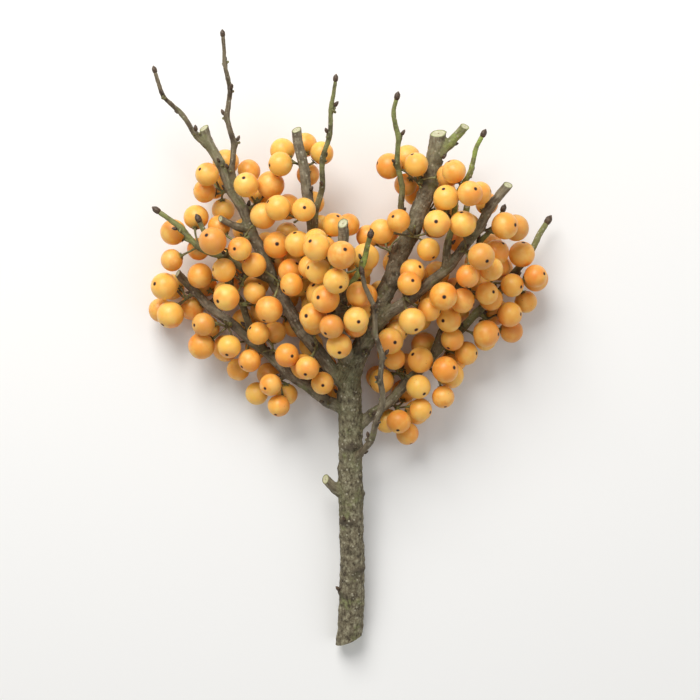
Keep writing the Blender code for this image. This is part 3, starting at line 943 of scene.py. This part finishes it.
def add_berry(bm, berry, rng):
    """The skin of one berry. Its pole layer runs from 0 at the scar to 1 at the stalk."""
    tint, pole = bm.verts.layers.float["tint"], bm.verts.layers.float["pole"]
    spin = Quaternion((0, 0, 1), rng.uniform(*SPIN))
    turn = Vector((0, 0, 1)).rotation_difference(Vector(berry.pole)) @ spin
    colour = rng.random()
    squash = rng.uniform(*BERRY_SQUASH)
    shift = Vector([rng.uniform(*SHIFT) for _ in range(3)])
    loops = []
    for theta in BERRY_RINGS:
        ring = []
        for k in range(1 if theta == 0 else BERRY_SIDES):
            phi = 2 * math.pi * k / BERRY_SIDES
            way = sphere_way(theta, phi)
            uneven = sum((height * noise.noise(way * fine + shift) for fine, height in UNEVEN), start=1)
            if theta < SCAR_EDGE:
                uneven += SCAR_POINT_RISE * math.cos(SCAR_POINTS * phi) * theta / SCAR_EDGE
            way = way * (berry.radius * berry_profile(theta) * uneven)
            way.z *= squash
            vert = bm.verts.new(Vector(berry.centre) + turn @ way)
            vert[tint], vert[pole] = colour, theta / math.pi
            ring.append(vert)
        loops.append(ring)
    for low, high in zip(loops, loops[1:]):
        for k in range(BERRY_SIDES):
            if len(low) == 1:
                face = bm.faces.new((low[0], high[k - 1], high[k]))
            else:
                face = bm.faces.new((low[k], low[k - 1], high[k - 1], high[k]))
            face.smooth = True
    bm.faces.new(loops[-1]).smooth = True


def make_berries(bunches, skin):
    """One piece for the berries of each shoot, standing for its bunches' nodes."""
    rng = random.Random(SEED + 2)
    for stem in STEMS:
        mine = [bunch for bunch in bunches if bunch.stem == stem.name]
        if not mine:
            continue
        bm = bmesh.new()
        bm.verts.layers.float.new("tint")
        bm.verts.layers.float.new("pole")
        for bunch in mine:
            for berry in bunch.berries:
                add_berry(bm, berry, rng)
        bmesh.ops.recalc_face_normals(bm, faces=bm.faces)
        name = "fruit_" + stem.name
        show(name, mesh_of(bm, name), [skin], [bunch.name for bunch in mine])


def hose(bm, points, radii, sides):
    """A closed tube along points."""
    along = tangents(points)
    side = unit(np.cross(along[0], SKEW))
    loops = []
    for point, radius, way in zip(points, radii, along):
        side = unit(side - way * (side @ way))
        loops.append(ring_of(bm, point, [radius] * sides, side, np.cross(way, side)))
    for face in (bm.faces.new(loops[0][::-1]), bm.faces.new(loops[-1]), *wrapped(bm, loops)):
        face.smooth = True


def bent(start, out, end, into, count):
    """A stalk's bent centre line from start, leaving along out, to end, arriving along into."""
    pull = STALK_BEND * np.linalg.norm(end - start)
    a, b = start + out * pull, end - into * pull
    t = np.linspace(0, 1, count)[:, None]
    return (1 - t) ** 3 * start + 3 * (1 - t) ** 2 * t * a + 3 * (1 - t) * t**2 * b + t**3 * end


def add_calyx(bm, berry, rng):
    """The small star of sepals that a berry sits in, hugging its skin."""
    inside = berry.radius * CALYX_HUG
    turn = Vector((0, 0, 1)).rotation_difference(Vector(berry.pole))
    lobes = rng.choice(CALYX_LOBES)
    spin = rng.uniform(*SPIN)
    rings = []
    for size, height in CALYX_RINGS:
        ring = []
        for k in range(lobes * LOBE_POINTS):
            phi = 2 * math.pi * k / (lobes * LOBE_POINTS)
            lobe = LOBE_MIDDLE + LOBE_DEPTH * math.cos(lobes * phi)
            reach = CALYX_SIZE * (size * lobe if size == 1.0 else size)
            way = sphere_way(reach / inside, phi + spin)
            way.z = -way.z
            way = turn @ (way * (inside + height + CALYX_LIFT))
            ring.append(bm.verts.new(Vector(berry.centre) + way))
        rings.append(ring)
    for face in wrapped(bm, rings):
        face.smooth = True
    bm.faces.new(rings[0][::-1])
    bm.faces.new(rings[-1])


def add_bare_stalk(bm, bunch, spur, balls, wood, rng):
    """A short dry stalk whose berry has dropped, where it touches nothing."""
    for _ in range(BARE_TRIES):
        way = way_out(rng, spur, BARE_PULL)
        end = bunch.knob + way * rng.uniform(*BARE_STALK)
        samples = stalk_points(bunch.knob, end)
        clear = clear_of(samples, STALK_THICK, *balls) and clear_of_wood(samples, STALK_THICK, wood)
        if clear and end[2] > STALK_THICK:
            start = bunch.knob - spur * STALK_END
            line = bent(start, unit(spur + BARE_FAN * way), end, way, len(BARE_SWELL))
            hose(bm, line, np.array(BARE_SWELL) * STALK_THICK, DRY_SIDES)
            return


def add_stumps(bm, shoot, knot, balls, rng):
    """The dry ends of stalks that broke off beside the bud of a bare knot."""
    i = knot.ring
    along = unit(shoot.points[i + 1] - shoot.points[i - 1])
    side = np.cross(along, knot.outward)
    surface = shoot.points[i] + knot.outward * (shoot.radii[i] - STUMP_SUNK)
    steps = np.linspace(0, 1, len(STUMP_SWELL))[:, None]
    for _ in range(rng.choice(STUMPS)):
        root = surface + side * rng.uniform(-STUMP_SPREAD, STUMP_SPREAD)
        root = root - along * rng.uniform(0, STUMP_SPREAD)
        points = root + way_out(rng, knot.outward, BARE_PULL) * rng.uniform(*STUMP_LENGTH) * steps
        if clear_of(points, STALK_THICK, *balls) and points[:, 2].min() > 2 * STALK_THICK:
            hose(bm, points, np.array(STUMP_SWELL) * STALK_THICK, DRY_SIDES)


def make_stalks(bunches, shoots):
    """The spur of each bunch, the stalk and calyx of each berry, and what is left of bare stalks."""
    rng = random.Random(SEED + 3)
    wood = wood_pieces(shoots)
    berries = [berry for bunch in bunches for berry in bunch.berries]
    balls = np.array([berry.centre for berry in berries]), np.array([berry.radius for berry in berries])
    bm = bmesh.new()
    for bunch in bunches:
        spur = unit(bunch.knob - bunch.root)
        heel = bunch.knob - spur * (KNOB_RADIUS + KNOT_HEIGHT + LEAST_GAP)
        steps = np.linspace(0, 1, len(HEEL_RADII))[:, None]
        hose(bm, heel + (bunch.knob - heel) * steps, HEEL_RADII, HEEL_SIDES)
        for berry in bunch.berries:
            out = unit(spur + STALK_FAN * unit(berry.foot - bunch.knob))
            start, end = bunch.knob - spur * STALK_END, berry.foot + berry.pole * STALK_END
            line = bent(start, out, end, berry.pole, len(STALK_SWELL))
            hose(bm, line, np.array(STALK_SWELL) * STALK_THICK, STALK_SIDES)
            add_calyx(bm, berry, rng)
        for _ in range(rng.choice(BARE_IN_BUNCH)):
            add_bare_stalk(bm, bunch, spur, balls, wood, rng)
    for shoot in shoots.values():
        for knot in shoot.knots:
            if not knot.berried and shoot.radii[knot.ring] < OLD_RADIUS:
                add_stumps(bm, shoot, knot, balls, rng)
    bmesh.ops.recalc_face_normals(bm, faces=bm.faces)
    show("berry_stalks", mesh_of(bm, "berry_stalks"), [stalk_look()], [])


def show(name, mesh, looks, nodes):
    """Puts a finished piece in the scene, on the body, with its looks and the solids it stands for."""
    for look in looks:
        mesh.materials.append(look)
    obj = added(name, mesh)
    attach(obj, BODY)
    if nodes:
        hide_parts(*nodes)


class Look:
    """A Principled material and short ways to add nodes to it."""

    def __init__(self, name, **values):
        self.material = bpy.data.materials.new(name)
        self.material.use_nodes = True
        self.tree = self.material.node_tree
        self.shader = self.tree.nodes["Principled BSDF"]
        for socket, value in values.items():
            self.shader.inputs[socket.replace("_", " ")].default_value = value

    def node(self, kind, links=None, **settings):
        made = self.tree.nodes.new("ShaderNode" + kind)
        for key, value in settings.items():
            setattr(made, key, value)
        for socket, value in (links or {}).items():
            self.feed(made.inputs[socket], value)
        return made

    def feed(self, socket, value):
        if isinstance(value, bpy.types.NodeSocket):
            self.tree.links.new(value, socket)
        else:
            socket.default_value = value

    def attribute(self, name, output="Fac"):
        return self.node("Attribute", attribute_name=name).outputs[output]

    def place(self):
        return self.node("TexCoord").outputs["Object"]

    def noise(self, vector, scale, detail=3.0, roughness=0.55):
        links = {"Vector": vector, "Scale": scale, "Detail": detail, "Roughness": roughness}
        return self.node("TexNoise", links).outputs["Fac"]

    def cells(self, vector, scale):
        return self.node("TexVoronoi", {"Vector": vector, "Scale": scale}).outputs["Distance"]

    def stretch(self, vector, scale):
        return self.node("Mapping", {"Vector": vector, "Scale": scale}).outputs[0]

    def steps(self, value, low, high, to_low=0.0, to_high=1.0):
        links = {"Value": value, "From Min": low, "From Max": high, "To Min": to_low, "To Max": to_high}
        return self.node("MapRange", links, interpolation_type="SMOOTHSTEP").outputs["Result"]

    def math(self, operation, a, b=0.0):
        made = self.node("Math", operation=operation)
        self.feed(made.inputs[0], a)
        self.feed(made.inputs[1], b)
        return made.outputs[0]

    def times(self, a, b):
        return self.math("MULTIPLY", a, b)

    def plus(self, a, b):
        return self.math("ADD", a, b)

    def mix(self, share, a, b):
        """From a to b by share. A colour may be given as red, green and blue."""
        made = self.node("Mix", data_type="RGBA")
        self.feed(made.inputs[0], share)
        for number, value in ((6, a), (7, b)):
            self.feed(made.inputs[number], (*value, 1) if isinstance(value, tuple) else value)
        return made.outputs[2]

    def layers(self, colour, paints):
        """A colour under paints: what each goes by, its range, its shares at both ends, its colour."""
        for value, low, high, to_low, to_high, paint in paints:
            colour = self.mix(self.steps(value, low, high, to_low, to_high), colour, paint)
        return colour

    def bump(self, height, distance, strength):
        made = self.node("Bump", {"Height": height, "Distance": distance, "Strength": strength})
        self.feed(self.shader.inputs["Normal"], made.outputs["Normal"])

    def colour(self, value):
        self.feed(self.shader.inputs["Base Color"], value)

    def roughness(self, value):
        self.feed(self.shader.inputs["Roughness"], value)


def bark_look():
    """Mottled grey-brown bark with pale lenticels: rough on the trunk, smooth on the arms, with algae in
    the forks, brown twigs with dark nodes and green young shoots."""
    look = Look("bark", Specular_IOR_Level=0.28)
    place = look.place()
    grain = look.attribute("grain", "Vector")
    girth, youth, crotch, node = (look.attribute(name) for name in ("girth", "youth", "crotch", "node"))
    streak = look.noise(look.stretch(grain, (1, 1, 0.25)), 1300, 4)
    patch = look.noise(place, 260, 4, 0.6)
    long_grain = look.stretch(grain, (1, 1, 0.6))
    crust = look.mix(0.42, look.noise(long_grain, 1050, 4, 0.68), look.noise(place, 420, 4, 0.7))
    rings = look.noise(look.stretch(grain, (0.22, 0.22, 1.5)), 1100, 3)
    fine = look.noise(place, 2100, 3, 0.6)
    smooth = look.layers((0.118, 0.090, 0.057), (
        (patch, 0.36, 0.62, 0, 1, (0.245, 0.207, 0.140)),
        (streak, 0.48, 0.66, 0, 0.6, (0.360, 0.322, 0.235)),
        (streak, 0.30, 0.45, 0.6, 0, (0.052, 0.036, 0.022)),
        (rings, 0.56, 0.70, 0, 0.5, (0.062, 0.044, 0.028)),
    ))
    old = look.layers((0.044, 0.032, 0.020), (
        (crust, 0.40, 0.50, 0, 1, (0.150, 0.127, 0.078)),
        (crust, 0.50, 0.61, 0, 1, (0.310, 0.285, 0.190)),
    ))
    twig = look.layers((0.066, 0.045, 0.028), (
        (patch, 0.35, 0.6, 0, 1, (0.170, 0.135, 0.083)),
        (streak, 0.5, 0.7, 0, 0.6, (0.320, 0.282, 0.195)),
    ))
    colour = look.layers(smooth, ((girth, 0.45, 0.85, 0.15, 0.9, old), (girth, 0.22, 0.42, 0.9, 0, twig)))
    mossy = look.noise(place, 120, 5, 0.65)
    algae = look.math("MAXIMUM", look.steps(mossy, 0.54, 0.68, 0, 0.7), look.times(crotch, 0.4))
    algae = look.times(algae, look.steps(crust, 0.36, 0.56, 0.2, 1))
    colour = look.mix(algae, colour, (0.165, 0.185, 0.066))
    fresh = look.mix(look.steps(fine, 0.3, 0.7), (0.200, 0.255, 0.050), (0.330, 0.400, 0.105))
    bare = look.steps(patch, 0.40, 0.56, 0.35, 1)
    colour = look.mix(look.times(youth, bare), colour, fresh)
    scar = look.times(node, look.steps(crust, 0.35, 0.6, 0.35, 0.9))
    colour = look.mix(scar, colour, (0.050, 0.034, 0.024))
    dots = look.steps(look.cells(place, 560), 0.15, 0.25, 1, 0)
    dots = look.times(dots, look.steps(look.noise(place, 310, 1), 0.40, 0.54))
    colour = look.mix(look.times(dots, 0.75), colour, (0.40, 0.37, 0.27))
    look.colour(colour)
    look.roughness(look.steps(patch, 0.3, 0.7, 0.68, 0.9))
    rugged = look.times(crust, look.steps(girth, 0.3, 0.9, 0.35, 1.3))
    height = look.plus(rugged, look.times(fine, 0.35))
    height = look.plus(height, look.times(rings, -0.3))
    height = look.plus(height, look.times(dots, 0.3))
    look.bump(height, 0.00028, 0.85)
    return look.material


def cut_look():
    """Fresh end grain: pale green-cream wood with faint rings, green under the bark, a brown pith."""
    look = Look("cut_wood", Roughness=0.62, Specular_IOR_Level=0.3)
    rim = look.attribute("rim")
    place = look.place()
    mottle = look.noise(place, 1300, 3)
    rings = look.math("SINE", look.times(rim, 26.0))
    look.colour(look.layers((0.42, 0.40, 0.245), (
        (mottle, 0.3, 0.7, 0, 1, (0.58, 0.56, 0.385)),
        (rings, 0.2, 1.0, 0, 0.22, (0.40, 0.35, 0.18)),
        (rim, 0.80, 0.93, 0, 0.85, (0.26, 0.31, 0.10)),
        (rim, 0.08, 0.17, 1, 0, (0.20, 0.13, 0.06)),
    )))
    look.bump(mottle, 0.0001, 0.5)
    return look.material


def bud_look():
    """Dark brown bud scales with paler edges."""
    look = Look("bud_scales", Roughness=0.5, Specular_IOR_Level=0.4)
    fine = look.noise(look.place(), 2600, 3)
    look.colour(look.mix(look.steps(fine, 0.35, 0.65), (0.040, 0.024, 0.017), (0.125, 0.080, 0.045)))
    look.bump(fine, 0.00012, 0.7)
    return look.material


def stalk_look():
    """Olive-green stalks and calyces, browner in places."""
    look = Look("stalk", Roughness=0.55, Specular_IOR_Level=0.35)
    place = look.place()
    patch = look.steps(look.noise(place, 420, 3), 0.38, 0.62)
    look.colour(look.mix(patch, (0.115, 0.085, 0.040), (0.220, 0.225, 0.085)))
    look.bump(look.noise(place, 2400, 2), 0.00010, 0.6)
    return look.material


def skin_look():
    """Satin amber-orange skin that light sinks into a little, with a black scar at the far pole."""
    look = Look(
        "berry_skin", Specular_IOR_Level=0.42, Coat_Weight=0.10, Coat_Roughness=0.35,
        Subsurface_Weight=0.30, Subsurface_Radius=(1.0, 0.42, 0.10), Subsurface_Scale=0.0016,
    )
    place, tint, pole = look.place(), look.attribute("tint"), look.attribute("pole")
    cloud, blush = look.noise(place, 210, 3), look.noise(place, 95, 2)
    colour = look.layers(look.mix(tint, (0.905, 0.530, 0.100), (0.82, 0.295, 0.036)), (
        (cloud, 0.42, 0.64, 0, 0.6, (0.905, 0.575, 0.150)),
        (blush, 0.52, 0.66, 0, 0.55, (0.80, 0.235, 0.030)),
        (tint, 0.90, 0.97, 0, 0.5, (0.62, 0.330, 0.075)),
        (pole, 0.80, 0.99, 0, 0.5, (0.62, 0.34, 0.06)),
    ))
    speck = look.steps(look.cells(place, 900), 0.10, 0.17, 1, 0)
    rare = look.steps(look.noise(place, 330, 1), 0.62, 0.68)
    colour = look.mix(look.times(look.times(speck, rare), 0.6), colour, (0.30, 0.11, 0.02))
    look.colour(look.layers(colour, (
        (pole, 0.043, 0.062, 0.9, 0, (0.42, 0.13, 0.018)),
        (pole, 0.037, 0.044, 1, 0, (0.016, 0.010, 0.008)),
    )))
    look.roughness(look.steps(pole, 0.036, 0.046, 0.75, 0.40))
    look.bump(look.noise(place, 1700, 2), 0.00004, 0.35)
    return look.material


# The stage: each light's place from the sprig's middle, width, watts and colour, and the camera's view
FLOOR_SIZE = 6.0
FLOOR_DROP = 0.0001
WORLD_LIGHT = 0.42
LIGHTS = (
    ("key", (-0.22, 0.62, 0.60), 0.55, 8.6, (1.0, 0.985, 0.96)),
    ("fill", (0.6, -0.1, 0.7), 0.8, 1.2, (1.0, 1.0, 1.0)),
)
CAMERA_LENS = 85
CAMERA_FRAME = 0.226
CAMERA_LEAN = 0.07
CAMERA_CLIP = 0.01


def make_floor():
    bm = bmesh.new()
    bmesh.ops.create_grid(bm, x_segments=1, y_segments=1, size=FLOOR_SIZE / 2)
    look = Look("floor", Roughness=0.9, Specular_IOR_Level=0.2, Base_Color=(0.86, 0.86, 0.85, 1))
    floor = added("floor", mesh_of(bm, "floor"))
    floor.data.materials.append(look.material)
    floor.location.z = -FLOOR_DROP


def add_light(name, place, target, size, power, colour):
    lamp = bpy.data.lights.new(name, "AREA")
    lamp.size, lamp.energy, lamp.color = size, power, colour
    obj = added(name, lamp)
    obj.location = place
    obj.rotation_euler = (Vector(target) - Vector(place)).to_track_quat("-Z", "Y").to_euler()


def set_stage():
    """Floor, soft light from the tips' side and above, and a camera that looks down on the sprig."""
    make_floor()
    world = bpy.data.worlds.new("studio")
    world.use_nodes = True
    world.node_tree.nodes["Background"].inputs["Color"].default_value = (1.0, 1.0, 1.0, 1)
    world.node_tree.nodes["Background"].inputs["Strength"].default_value = WORLD_LIGHT
    bpy.context.scene.world = world
    bpy.context.scene.view_settings.view_transform = "Standard"
    low, high = (np.array(corner) for corner in CAD_BOX)
    middle = (low + high) / 2
    for name, place, *settings in LIGHTS:
        add_light(name, middle + place, middle, *settings)
    lens = bpy.data.cameras.new("camera")
    lens.lens = CAMERA_LENS
    lens.clip_start = CAMERA_CLIP
    camera = added("camera", lens)
    distance = CAMERA_FRAME / 2 / math.tan(lens.angle / 2)
    back = unit(np.array((0, CAMERA_LEAN, 1.0)))
    right = np.array((1.0, 0, 0))
    turn = Matrix((right, np.cross(back, right), back)).transposed()
    camera.matrix_world = Matrix.Translation(middle + back * distance) @ turn.to_4x4()
    bpy.context.scene.camera = camera


def main():
    shoots, bunches = lay_out()
    bunches = fill_in(shoots, bunches)
    make_branch(shoots)
    make_berries(bunches, skin_look())
    make_stalks(bunches, shoots)
    set_stage()


main()
